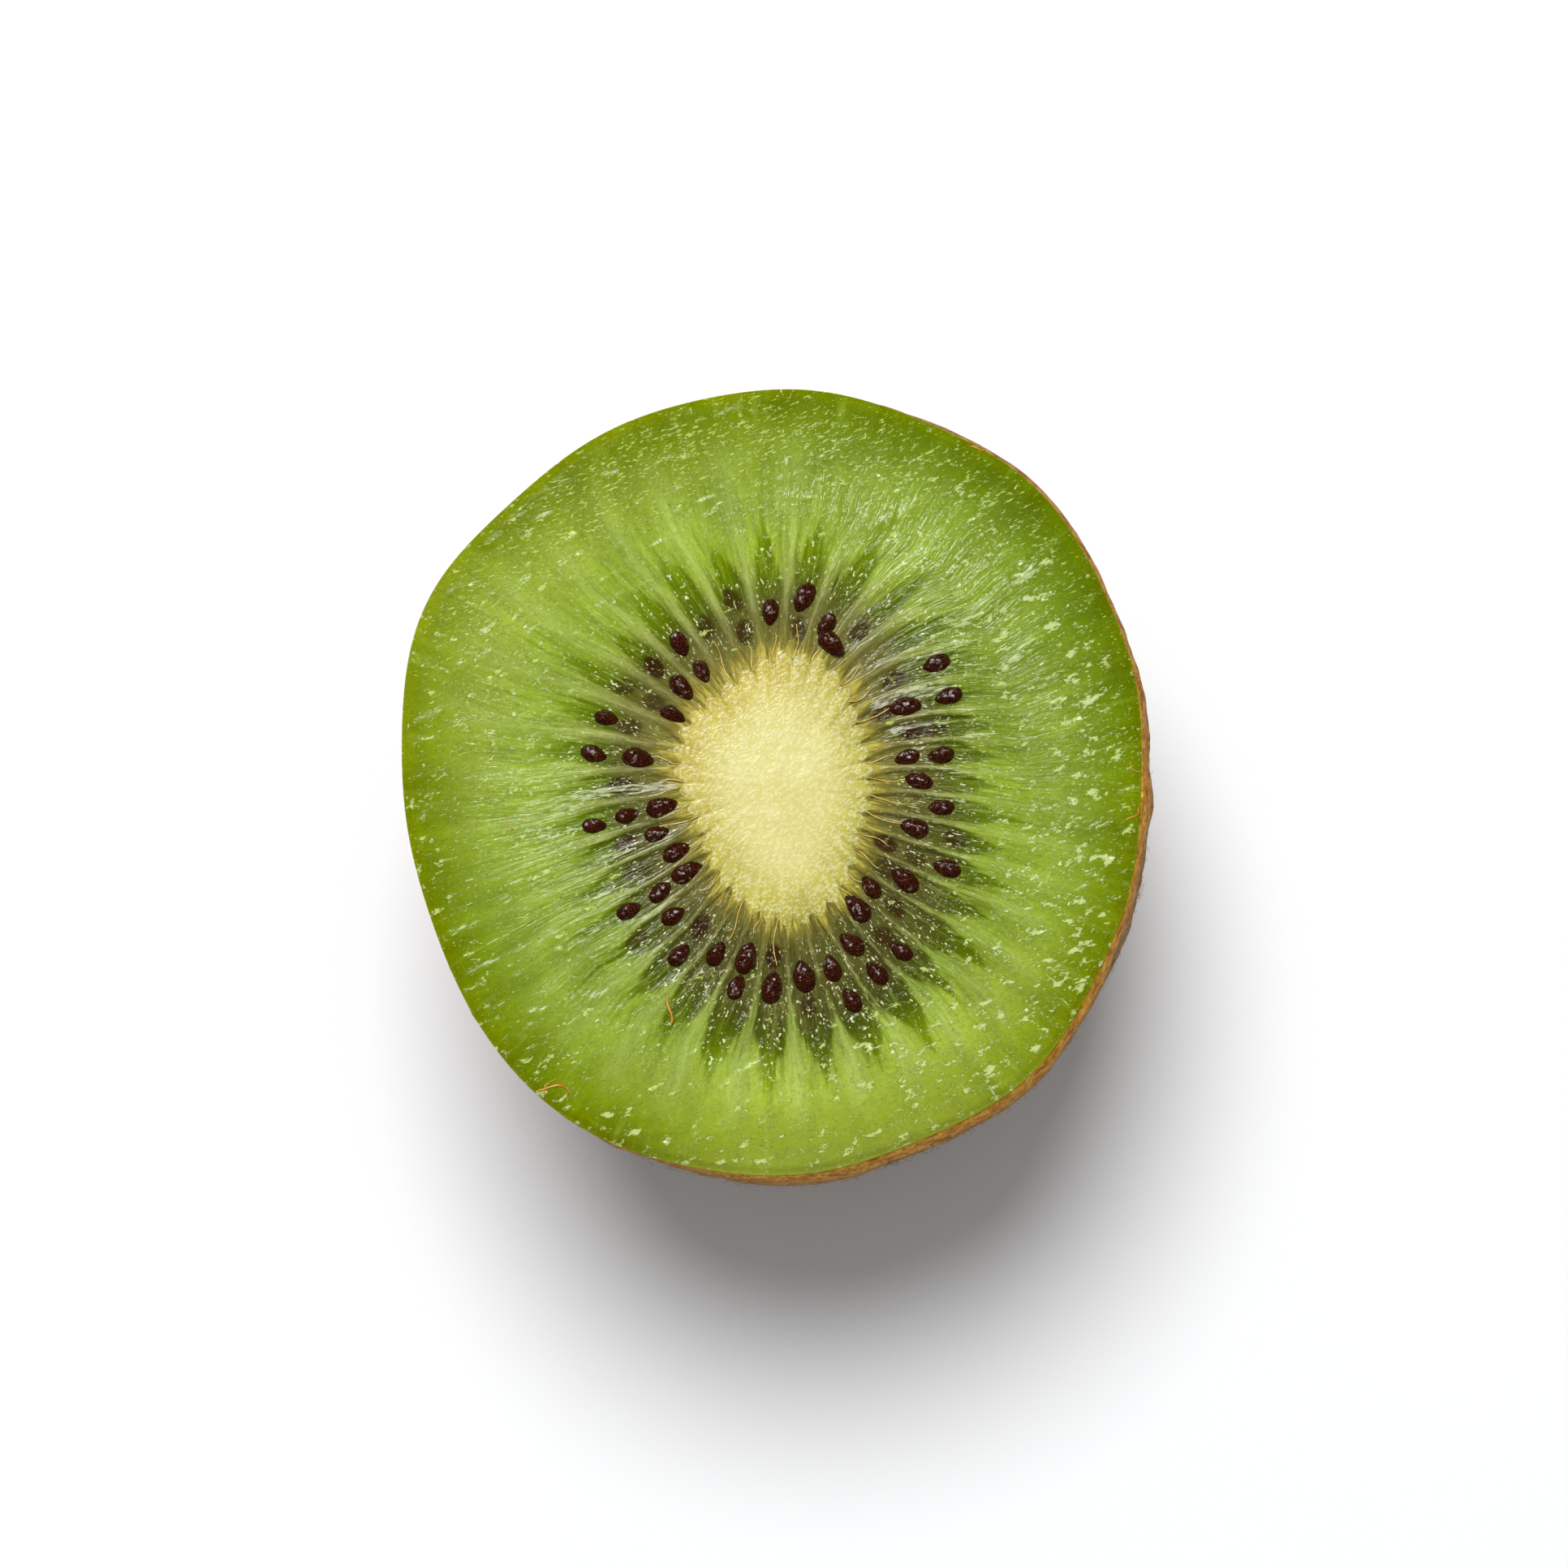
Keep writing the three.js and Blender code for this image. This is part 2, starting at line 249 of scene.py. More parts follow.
def turned(x, y, degrees):
    """Distances along and across a direction."""
    turn = math.radians(degrees)
    return x * math.cos(turn) + y * math.sin(turn), y * math.cos(turn) - x * math.sin(turn)


def unit(vectors):
    return vectors / np.linalg.norm(vectors, axis=-1, keepdims=True)


def circle_at(angle, radius, height):
    return np.stack(np.broadcast_arrays(radius * np.cos(angle), radius * np.sin(angle), height), -1)


# ---- the cut face


def face_radius(angle):
    return FACE_RADIUS + swells(FACE_SWELLS, angle) + swells(KNIFE_SWELLS, angle)


def core_radius(angle):
    return CORE_RADIUS + swells(CORE_SWELLS, angle)


def places(count):
    """A row of places, evenly spaced round the core."""
    return np.arange(count)[None, :] / count * LOCULES


def column_angle(place, share):
    """The angle of a point of the cut: locules are crowded on one side, and lean."""
    even = place / LOCULES * TURN
    angle = even + np.radians(FIRST_LOCULE + swells(CROWDING, even))
    lean = np.radians(LEAN + swells(LEAN_SWELLS, angle))
    return angle + lean * (LEAN_PIVOT - np.minimum(share, LEAN_END))


def face_point(place, share, inset=FIT):
    """A point of the cut, at its plane's height."""
    angle = column_angle(place, share)
    core = core_radius(angle) - CORE_SCALLOP * np.cos(TURN * place)
    return circle_at(angle, mix(core, face_radius(angle) - inset, share), CUT_HEIGHT)


def tip_reach(place):
    """How much further out the locules reach there than most."""
    return swells(TIP_SWELLS, place / LOCULES * TURN)


def locule_depth(place, share, widening=1):
    """How deep inside a locule a point of the cut is, from 0 on the ribs and beyond the tips to 1.
    A widening over 1 makes the locules broader than the solids'."""
    k = np.round(place)
    number = np.mod(k, LOCULES)
    ragged = 0.09 * noise(place * 5, share * 16, 3, 5 * LOCULES)
    off_centre = np.abs(place - k) * 2 + ragged * step(share, 0.03, 0.15)
    tip = TIP_SHARE + 0.16 * draw(number, 2) + tip_reach(place)
    bottom = 0.02 * draw(number, 7)
    width = (LOCULE_WIDTH + 0.14 * draw(number, 8)) * mix(0.55, 1, step(share, 0, 0.12))
    width = width * step(share, bottom - 0.01, bottom + 0.02) * widening
    width = width * (1 - step(share, 0.2, tip) ** 1.8)
    return step(width - off_centre, -0.14, 0.2)


def slow_height(angle, share):
    """Height of the cut over its plane, but for its locules: slow waves and a rim that drops."""
    waves = WAVE_HEIGHT * np.sin(3 * angle + 9 * share) * step(share, 0.3, 0.7)
    return waves - RIM_DROP * step(share, 0.95, 1) ** 2


def face_height(place, share):
    """Height of the cut over its plane, as the solids have it, with the locules' ragged outlines."""
    outwards = mix(1, 0.2, step(share, 0.25, 0.55))
    sink = LOCULE_SINK * locule_depth(place, share) * outwards
    return slow_height(column_angle(place, share), share) - sink


def face_relief(x, y, place, share):
    """The fine relief that the knife and the torn juice sacs leave."""
    along, across = turned(x, y, KNIFE_TURN)
    outer = step(share, 0.3, 0.65)
    knife = noise(along / 5, across / 3, 5)
    torn = step(fractal(along / 1.3, across / 0.7, 11, 2), 0.45, 0.9) * outer
    ridges = noise(place * 4, share * 4, 21, 4 * LOCULES) * (1 - step(share, 0.55, 0.85))
    fibres = noise(place * 9, share * 7, 23, 9 * LOCULES) * (1 - outer)
    coarse = KNIFE_WAVE_HEIGHT * knife + TEAR_HEIGHT * torn
    return coarse + RIDGE_HEIGHT * ridges + FIBRE_HEIGHT * fibres


def by_angle(values, angle):
    """A value at any angle, from values at every 30 degrees."""
    degrees = np.mod(np.degrees(angle), 360)
    return np.interp(degrees, np.arange(13) * 30, values + values[:1])


def membrane_field(place, share):
    """How white the cut is, where its ribs are torn."""
    field = np.zeros_like(place)
    ragged = noise(place * 5, share * 9, 31, 5 * LOCULES)
    every_place = np.linspace(0, LOCULES, 721)
    for angle, start, end, width, whiteness in MEMBRANES:
        middle = (start + end) / 2
        angles = column_angle(every_place, middle)
        nearest = np.argmin(np.abs(np.angle(np.exp(1j * (angles - math.radians(angle))))))
        off = np.mod(place - every_place[nearest] + LOCULES / 2, LOCULES) - LOCULES / 2
        off = off + 0.12 * ragged
        across = np.abs(off) * TURN / LOCULES * mix(CORE_RADIUS, FACE_RADIUS, share)
        along = step(share, start - 0.03, start + 0.03)
        along = along * (1 - step(share, end - 0.06, end + 0.03))
        streak = (1 - step(across, 0.2 * width, 0.6 * width)) * along * whiteness
        field = np.maximum(field, streak)
    return field


def off_rib(place, share):
    """How far off the nearest rib's middle a point is, from 0 on it to 1 in a locule's middle."""
    return np.abs(place - np.floor(place) - 0.5) * 2 + 0.05 * noise(place * 5, share * 9, 35, 5 * LOCULES)


def rib_field(place, share):
    """How near a point is to the pale line along a rib."""
    along = step(share, 0.01, 0.05) * (1 - step(share, 0.35, 0.62))
    return (1 - step(off_rib(place, share), 0.05, 0.24)) * along


def glow_field(place, share, angle):
    """How pale the flesh is in a broad band along a rib, where the knife left it smooth."""
    along = step(share, 0.12, 0.3) * (1 - step(share, 0.6, 0.9))
    smooth = 1 - 0.7 * by_angle(RIDGES, angle)
    return (1 - step(off_rib(place, share), 0.0, 0.55)) * along * smooth


def tears(share, angle):
    """How much the knife tore the cut, in large flecks and in small ones."""
    large = by_angle(LARGE_TEARS, angle) * step(share, 0.35, 0.6)
    large = mix(large, by_angle(RIM_TEARS, angle), step(share, 0.84, 0.94))
    small = by_angle(SMALL_TEARS, angle) * step(share, 0.45, 0.8)
    return large, small * (1 - 0.5 * step(share, 0.9, 1))


def sunk_seed_field(x, y):
    """How strongly a seed just under the surface shows through it."""
    field = np.zeros_like(x)
    for number, (place, share, turn, size) in enumerate(seeds_of(SUNK_ROWS, FIRST_SUNK_NUMBER)):
        middle = face_point(place, share)
        angle = seed_angle(place, share, turn)
        along, across = turned(x - middle[0], y - middle[1], math.degrees(angle))
        out = np.hypot(along / (SEED_LENGTH / 2), across / (SEED_WIDTH / 2)) / size
        field = np.maximum(field, (1 - step(out, 0.75, 1.2)) * (0.6 + 0.4 * draw(number, 16)))
    return field


# ---- where seeds lie


def seeds_of(rows, first_number=0):
    """Every seed of some rows, as (place, share, turn, size)."""
    seeds = []
    for k, row in enumerate(rows.split()):
        for i, letter in enumerate(row.replace("-", "")):
            number = first_number + k * len(SEED_LETTERS) + i
            steps = SEED_LETTERS.index(letter.lower()) + 0.3 * (draw(number, 4) - 0.5)
            seeds.append((
                k + 0.12 * (draw(number, 3) - 0.5),
                FIRST_SEED_SHARE + SEED_SHARE_STEP * steps,
                30 * (draw(number, 5) - 0.5),
                (LARGE_SEED if letter.isupper() else 1) * (0.92 + 0.16 * draw(number, 6)),
            ))
    return seeds


def seed_angle(place, share, turn):
    """The direction of a seed's blunt end."""
    outwards = face_point(place, share + 0.05) - face_point(place, share)
    return math.atan2(outwards[1], outwards[0]) + math.radians(turn)


# ---- meshes


SHARP_EDGE = 65


def make_piece(name, points, faces, material, node, fields=None):
    """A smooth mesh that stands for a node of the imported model, with a value at each point per field."""
    mesh = bpy.data.meshes.new(name)
    in_frame = (np.asarray(points) + [CORE_TIP.x, CORE_TIP.y, 0]) * MM
    mesh.from_pydata(in_frame.tolist(), [], faces)
    mesh.shade_smooth()
    mesh.set_sharp_from_angle(angle=math.radians(SHARP_EDGE))
    for field, values in (fields or {}).items():
        kind = "FLOAT" if values.ndim == 1 else "FLOAT_VECTOR"
        layer = mesh.attributes.new(field, kind, "POINT")
        layer.data.foreach_set("value" if kind == "FLOAT" else "vector", values.astype(np.float32).ravel())
    mesh.materials.append(material)
    piece = bpy.data.objects.new(name, mesh)
    bpy.context.scene.collection.objects.link(piece)
    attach(piece, "root")
    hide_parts(node)


def body_of_rings(rings, first, last):
    """Points and faces of the closed body from a first point through rings of one size to a last point.
    It faces out where the rings turn to +Y from +X, and go outwards or downwards."""
    rows, columns = rings.shape[:2]
    points = np.concatenate([rings.reshape(-1, 3), [first, last]])
    here = np.arange(rows * columns).reshape(rows, columns)
    after = np.roll(here, -1, axis=1)
    quads = np.stack([here[:-1], here[1:], after[1:], after[:-1]], -1).reshape(-1, 4)
    start = np.stack([np.full(columns, rows * columns), here[0], after[0]], -1)
    end = np.stack([here[-1], np.full(columns, rows * columns + 1), after[-1]], -1)
    return points, quads.tolist() + start.tolist() + end.tolist()


def tube(path, radii, sides=6):
    """Points and faces of a closed tube along a path."""
    ahead = unit(np.gradient(path, axis=0))
    across = unit(np.cross(ahead, [0, 0, 1.0]))
    above = np.cross(across, ahead)
    around = np.arange(sides) / sides * TURN
    spokes = across[:, None] * np.cos(around)[:, None] + above[:, None] * np.sin(around)[:, None]
    rings = path[:, None] + spokes * np.asarray(radii)[:, None, None]
    return body_of_rings(rings, path[0], path[-1])


def join(parts):
    """One list of points and faces from many."""
    points, faces, base = [], [], 0
    for part_points, part_faces in parts:
        points.append(part_points)
        faces += [[base + i for i in face] for face in part_faces]
        base += len(part_points)
    return np.concatenate(points), faces


# ---- materials


WET_ROUGHNESS = 0.15

# What the cut's flesh and core share: a matt, slightly translucent body under a film of juice.
WET_FLESH = {
    "Roughness": 0.6,
    "Specular_IOR_Level": 0.0,
    "Subsurface_Weight": 0.3,
    "Subsurface_Scale": 0.7 * MM,
    "Coat_Roughness": WET_ROUGHNESS,
    "Coat_IOR": 1.33,
}


def linear(level):
    """The light of an 8-bit colour level."""
    level = level / 255
    return level / 12.92 if level <= 0.04045 else ((level + 0.055) / 1.055) ** 2.4


def seen(red, green, blue, light=DAYLIGHT):
    """The paint that looks like an 8-bit colour in a light."""
    return tuple(min(max(linear(c) - SHEEN, 0) / light, 1) for c in (red, green, blue)) + (1,)


class Paint:
    """A material, built by short calls that each add a node and give its output."""

    def __init__(self, name):
        self.material = bpy.data.materials.new(name)
        self.material.use_nodes = True
        self.nodes = self.material.node_tree.nodes
        self.shader = self.nodes["Principled BSDF"]

    def set(self, socket, value):
        """Links an output to a socket, or sets the socket's own value."""
        if isinstance(value, bpy.types.NodeSocket):
            self.material.node_tree.links.new(value, socket)
        elif value is not None:
            socket.default_value = value

    def add(self, kind, settings=None, **inputs):
        """Adds a node with its settings and inputs. A _ in an input's name stands for a space."""
        node = self.nodes.new("ShaderNode" + kind)
        for key, value in (settings or {}).items():
            setattr(node, key, value)
        for key, value in inputs.items():
            self.set(node.inputs[key.replace("_", " ")], value)
        return node

    def field(self, name):
        """A mesh field's value."""
        return self.add("Attribute", {"attribute_name": name}).outputs["Fac"]

    def cells_along(self, vector, sizes, turn=0):
        """A vector counted in cells of three sizes, the first of them along a direction."""
        settings = {"vector_type": "TEXTURE"}
        rotation = (0, 0, math.radians(turn))
        return self.add("Mapping", settings, Vector=vector, Scale=sizes, Rotation=rotation).outputs["Vector"]

    def position(self, length, width=None, turn=0):
        """Where a point is, counted in cells of a length and width in mm, lengthwise along a turn."""
        width = (width or length) * MM
        return self.cells_along(self.add("TexCoord").outputs["Object"], (length * MM, width, width), turn)

    def rays(self, width, length):
        """Where a point of the cut is, in cells along the locules: a locule is two wide."""
        rays = self.add("Attribute", {"attribute_name": "rays"}).outputs["Vector"]
        return self.cells_along(rays, (width, width, length))

    def noise(self, vector, detail=2, roughness=0.5):
        """Noise round 0.5 with cells as large as the vector's."""
        node = self.add("TexNoise", Vector=vector, Scale=1.0, Detail=detail, Roughness=roughness)
        return node.outputs["Fac"]

    def dots(self, vector, radius, share):
        """Spots of a radius in some of the vector's cells."""
        cells = self.add("TexVoronoi", Vector=vector, Scale=1.0)
        number = self.add("SeparateColor", Color=cells.outputs["Color"]).outputs[0]
        chosen = self.math("GREATER_THAN", share, number)
        return self.times(chosen, self.step(cells.outputs["Distance"], radius, radius * 0.6))

    def facets(self, vector):
        """Heights of flat facets, one to a cell, that lean at random."""
        wander = self.add("TexNoise", Vector=vector, Scale=3.0, Detail=2.0).outputs["Color"]
        ragged = self.vector_math("ADD", vector, self.vector_math("MULTIPLY", wander, (0.5, 0.5, 0.5)))
        cells = self.add("TexVoronoi", Vector=ragged, Scale=1.0)
        from_middle = self.vector_math("SUBTRACT", vector, cells.outputs["Position"])
        lean = self.vector_math("SUBTRACT", cells.outputs["Color"], (0.5, 0.65, 0.5))
        return self.vector_math("DOT_PRODUCT", from_middle, lean, "Value")

    def fray(self):
        """Uneven teeth along the locules, round 0, for the core's edge on both sides of it."""
        return self.math("SUBTRACT", self.noise(self.rays(0.4, 2.5)), 0.5)

    def flecks(self, vector, torn):
        """How pale a point is where ragged flecks cover a torn share of the cut, twice: the flecks, which
        are pale torn flesh and partly painted glints, and the brightest parts of them, which are painted
        glints."""
        level = self.plus(self.noise(vector, 5, 0.72), self.times(torn, 0.08))
        return self.step(level, 0.625, 0.65), self.step(level, 0.66, 0.68)

    def vector_math(self, operation, a, b, output="Vector"):
        node = self.add("VectorMath", {"operation": operation})
        self.set(node.inputs[0], a)
        self.set(node.inputs[1], b)
        return node.outputs[output]

    def math(self, operation, a, b):
        node = self.add("Math", {"operation": operation})
        self.set(node.inputs[0], a)
        self.set(node.inputs[1], b)
        return node.outputs[0]

    def plus(self, a, b):
        return self.math("ADD", a, b)

    def times(self, *values):
        product = values[0]
        for value in values[1:]:
            product = self.math("MULTIPLY", product, value)
        return product

    def step(self, value, low, high):
        """A smooth step from 0 at a low value to 1 at a high one, or the other way round."""
        return self.add(
            "MapRange",
            {"interpolation_type": "SMOOTHSTEP"},
            Value=value,
            From_Min=min(low, high),
            From_Max=max(low, high),
            To_Min=int(low > high),
            To_Max=int(low < high),
        ).outputs["Result"]

    def ramp(self, value, *stops, light=DAYLIGHT):
        """A colour by a value: stops are (value, red, green, blue), as the colour looks in a light."""
        node = self.add("ValToRGB", Fac=value)
        elements = node.color_ramp.elements
        while len(elements) < len(stops):
            elements.new(1)
        for element, (position, *look) in zip(elements, stops):
            element.position = position
            element.color = seen(*look, light)
        return node.outputs["Color"]

    def blend(self, share, a, b, kind="MIX"):
        node = self.add("Mix", {"data_type": "RGBA", "blend_type": kind})
        self.set(node.inputs["Factor"], share)
        self.set(node.inputs[6], a)
        self.set(node.inputs[7], b)
        return node.outputs[2]

    def cover(self, shade, look, *shares):
        """A colour that a product of shares covers with the paint of a look."""
        return self.blend(self.times(*shares), shade, seen(*look))

    def mottle(self, shade, amount, value):
        """Lightens and darkens a colour, by a value round 0.5."""
        return self.blend(amount, shade, self.step(value, 0.3, 0.7), "OVERLAY")

    def bump(self, height, distance, normal=None):
        """The normal over a height; distance is mm per unit of it."""
        node = self.add("Bump", Height=height, Distance=distance * MM, Strength=1.0)
        self.set(node.inputs["Normal"], normal)
        return node.outputs["Normal"]

    def finish(self, **inputs):
        """Sets the shader's inputs, and gives the material."""
        for key, value in inputs.items():
            self.set(self.shader.inputs[key.replace("_", " ")], value)
        return self.material


def rib_colour(paint, share, fray):
    """The ribs' colour, and that of the flesh outside: golden at the core, then olive, then green."""
    flesh = paint.ramp(
        paint.plus(share, fray),
        (0.00, 188, 174, 80), (0.03, 146, 132, 56), (0.06, 132, 124, 58), (0.10, 122, 117, 60),
        (0.20, 120, 121, 64), (0.30, 142, 151, 60), (0.40, 145, 167, 50), (0.55, 146, 169, 52),
        (0.70, 149, 170, 52), (0.80, 136, 157, 40), (0.88, 124, 145, 22), (0.94, 115, 134, 8),
        (1.00, 122, 134, 12),
    )
    pale = paint.step(paint.noise(paint.rays(0.25, 4), 4, 0.6), 0.53, 0.66)
    pale = paint.times(pale, paint.step(share, 0.2, 0.4), paint.step(share, 0.75, 0.5))
    flesh = paint.cover(flesh, (182, 200, 98), pale, 0.26)
    return paint.cover(flesh, (180, 197, 104), paint.field("glow"), 0.38)


def hollow_colour(paint, fray):
    """The locules' colour: golden at the core, then dark brown, dark green and green."""
    return paint.ramp(
        paint.plus(paint.field("locule_share"), fray),
        (0.00, 184, 172, 78), (0.03, 150, 140, 62), (0.06, 132, 125, 58), (0.10, 120, 116, 54),
        (0.15, 108, 104, 50), (0.25, 94, 94, 36), (0.32, 91, 103, 22), (0.40, 98, 117, 16),
        (0.50, 112, 136, 14), (0.62, 136, 160, 40),
    )


def toned(paint, share, shade):
    """A colour of the cut as bright as the photo's at that angle, and paler at a light rim."""
    shade = paint.blend(paint.step(share, 0.02, 0.1), shade, paint.field("inner_light"), "MULTIPLY")
    lightness = paint.field("lightness")
    tone = paint.blend(lightness, (0.61, 0.735, 0.25, 1), (1.49, 1.385, 2.2, 1))
    shade = paint.blend(paint.step(share, 0.35, 0.85), shade, tone, "MULTIPLY")
    rim = paint.step(share, 0.7, 0.95)
    return paint.cover(shade, (178, 192, 92), paint.step(lightness, 0.6, 1.0), rim, 0.35)


def flesh_colour(paint, share, locule):
    """The cut's colour between its flecks. The locules' edges fray where they are far from the core."""
    fray = paint.times(paint.fray(), paint.plus(paint.times(paint.step(share, 0.15, 0.0), 0.2), 0.1))
    fibres = paint.noise(paint.rays(0.2, 3), 3, 0.6)
    fraying = paint.times(paint.math("SUBTRACT", fibres, 0.5), paint.step(share, 0.1, 0.4), -2)
    inside = paint.step(paint.plus(locule, fraying), -0.1, 1.0)
    shade = paint.blend(inside, rib_colour(paint, share, fray), hollow_colour(paint, fray))
    shade = paint.mottle(shade, paint.times(paint.step(share, 0.9, 0.3), 0.16), fibres)
    shade = paint.mottle(shade, 0.1, paint.noise(paint.rays(0.8, 7), 3))
    shade = paint.mottle(shade, 0.1, paint.noise(paint.position(4), 3))
    shade = paint.mottle(shade, 0.08, paint.noise(paint.position(0.2), 2))
    return toned(paint, share, shade)


def with_ribs(paint, share, shade, threads):
    """Adds the threads at the core, the pale line along each rib, and the seeds under the surface."""
    shade = paint.mottle(shade, paint.times(paint.step(share, 0.16, 0.02), 0.24), threads)
    rib = paint.times(paint.field("rib"), paint.step(threads, 0.4, 0.55), paint.step(share, 0.03, 0.12))
    line = paint.ramp(share, (0.2, 176, 170, 112), (0.4, 180, 200, 100))
    rib = paint.times(rib, paint.plus(paint.times(paint.field("ridged"), 0.4), 0.3))
    shade = paint.blend(rib, shade, line)
    return paint.cover(shade, (58, 32, 20), paint.field("sunk_seed"), 0.95)


def with_films_and_reflections(paint, share, shade):
    """Adds the torn, white films, painted partly as the reflection on their wet surface. It gives the
    colour, and where they lie.
    """
    streaks = paint.noise(paint.rays(0.14, 1.6), 3, 0.6)
    torn = paint.step(paint.plus(streaks, paint.times(paint.field("membrane"), 0.28)), 0.7, 0.74)
    film_and_reflection = paint.ramp(share, (0.1, 210, 206, 180), (0.45, 206, 222, 160))
    veil = paint.times(paint.step(paint.noise(paint.rays(0.09, 0.7), 3, 0.6), 0.36, 0.52), 0.9)
    # White films: torn membranes, and partly painted reflection on them.
    return paint.blend(paint.times(torn, veil), shade, film_and_reflection), torn


def with_glint_dashes(paint, share, shade, locule, ridged):
    """Adds painted glints: short bright dashes where wet locules and ridges catch the light."""
    glint_strokes = paint.step(paint.noise(paint.rays(0.12, 0.3), 1), 0.62, 0.67)
    bright = paint.step(paint.noise(paint.position(0.7)), 0.42, 0.55)
    wet = paint.times(paint.math("MAXIMUM", locule, ridged), paint.step(share, 0.02, 0.14))
    # Painted glints in the locules and on the ridges.
    return paint.cover(shade, (238, 242, 190), glint_strokes, bright, wet, 0.9)


def with_flecks_and_glints(paint, shade):
    """Adds the pale flecks that the knife tore, partly painted glints of the wet torn flesh, with painted
    highlights in their brightest parts. It gives the colour, and the large and small flecks.
    """
    large_tears = paint.field("large_tears")
    large, large_glint = paint.flecks(paint.position(1.3, 0.7, FLECK_TURN), large_tears)
    small, small_glint = paint.flecks(paint.position(0.5, 0.17, FLECK_TURN), paint.field("small_tears"))
    # Pale flecks: torn flesh, and partly painted glints on it.
    shade = paint.cover(shade, (194, 213, 116), large, 0.5)
    shade = paint.cover(shade, (188, 207, 80), small, 0.5)
    # The flecks' brightest parts are painted highlights.
    bright = paint.times(paint.math("MAXIMUM", large_glint, small_glint), 0.7)
    fleck_glint = paint.blend(large_tears, seen(210, 226, 104), seen(222, 236, 172))
    return paint.blend(bright, shade, fleck_glint), large, small


def flesh_material():
    """The cut's wet green flesh, layer over layer."""
    paint = Paint("flesh")
    share = paint.field("share")
    locule = paint.field("locule")
    ridged = paint.times(paint.field("ridged"), paint.step(share, 0.9, 0.5), paint.step(share, 0.15, 0.3))
    threads = paint.noise(paint.rays(0.16, 0.8), 2)
    ridges = paint.noise(paint.rays(0.22, 3), 3, 0.6)
    crests_and_highlights = paint.times(ridged, paint.step(ridges, 0.56, 0.6), paint.step(threads, 0.4, 0.5))
    shade = with_ribs(paint, share, flesh_colour(paint, share, locule), threads)
    shade, torn = with_films_and_reflections(paint, share, shade)
    shade = with_glint_dashes(paint, share, shade, locule, ridged)
    # Pale crests along the ridges, with a painted highlight on them.
    shade = paint.cover(shade, (192, 216, 100), crests_and_highlights, 0.6)
    shade, large, small = with_flecks_and_glints(paint, shade)
    sacs = paint.times(locule, paint.noise(paint.rays(0.25, 0.7), 2))
    normal = paint.bump(paint.noise(paint.position(0.5, 0.3, FLECK_TURN), 2), 0.03)
    normal = paint.bump(paint.times(ridges, ridged), 0.25, normal)
    normal = paint.bump(crests_and_highlights, 0.03, normal)
    normal = paint.bump(sacs, 0.08, normal)
    normal = paint.bump(paint.math("MAXIMUM", large, small), 0.025, normal)
    facets = paint.facets(paint.position(0.45, 0.26, FLECK_TURN))
    wet = paint.bump(paint.times(facets, large), 0.3, normal)
    wet = paint.bump(paint.times(paint.facets(paint.rays(0.3, 1.0)), torn), 0.35, wet)
    return paint.finish(
        Base_Color=shade,
        Subsurface_Radius=(1.0, 1.0, 0.4),
        Coat_Weight=paint.step(share, 0.97, 0.92),
        Normal=normal,
        Coat_Normal=wet,
        **WET_FLESH,
    )


def core_material():
    """The core: cream with a pale grain that is partly painted sparkle, and darker, golden or green, with a
    frayed edge that carries painted glints.
    """
    paint = Paint("core")
    share = paint.plus(paint.field("share"), paint.times(paint.fray(), 0.5))
    shade = paint.ramp(
        share,
        (0.0, 235, 225, 146), (0.5, 232, 222, 143), (0.7, 224, 213, 124),
        (0.88, 206, 192, 88), (0.96, 190, 176, 70), (1.0, 150, 138, 52),
    )
    edge = paint.times(paint.step(paint.field("share"), 0.5, 0.95), paint.noise(paint.position(2.5), 4, 0.6))
    edge_colour = paint.blend(paint.field("golden"), seen(190, 190, 92), seen(214, 190, 70))
    shade = paint.blend(edge, shade, edge_colour)
    grain = paint.noise(paint.position(0.28, 0.17, PALE_GRAIN_TURN), 2, 0.6)
    # A pale grain: partly the core's own grain, and partly painted sparkle.
    shade = paint.cover(shade, (251, 245, 194), paint.step(grain, 0.48, 0.6), 0.5)
    shade = paint.mottle(shade, 0.1, paint.noise(paint.position(3)))
    # Painted glints: bright strokes on the wet core near its edge.
    glint_strokes = paint.times(edge, paint.dots(paint.rays(0.14, 0.6), 0.34, 0.6), 2)
    shade = paint.cover(shade, (244, 246, 204), glint_strokes, 0.8)
    normal = paint.bump(grain, 0.04)
    normal = paint.bump(glint_strokes, 0.03, normal)
    return paint.finish(
        Base_Color=shade,
        Subsurface_Radius=(1.0, 0.9, 0.5),
        Coat_Weight=1.0,
        Normal=normal,
        Coat_Normal=normal,
        **WET_FLESH,
    )


def seed_material():
    """The seeds: dark brown, pitted and wet, under scraps of pale film that is partly painted reflection."""
    paint = Paint("seeds")
    pits = paint.noise(paint.position(0.12), 3, 0.6)
    shade = paint.ramp(pits, (0.35, 38, 14, 9), (0.5, 56, 26, 17), (0.68, 92, 48, 32))
    film_and_reflection = paint.step(paint.noise(paint.position(0.6, 0.4, FLECK_TURN), 4, 0.65), 0.6, 0.68)
    # Pale film on the seeds, partly painted reflection.
    shade = paint.cover(shade, (176, 160, 140), film_and_reflection, 0.45)
    normal = paint.bump(paint.noise(paint.position(0.4), 2), 0.06)
    normal = paint.bump(pits, 0.018, normal)
    wet = paint.bump(paint.facets(paint.position(0.28)), 0.16, normal)
    return paint.finish(
        Base_Color=shade,
        Roughness=0.5,
        Specular_IOR_Level=0.0,
        Coat_Weight=1.0,
        Coat_Roughness=WET_ROUGHNESS,
        Coat_IOR=1.45,
        Normal=normal,
        Coat_Normal=wet,
    )


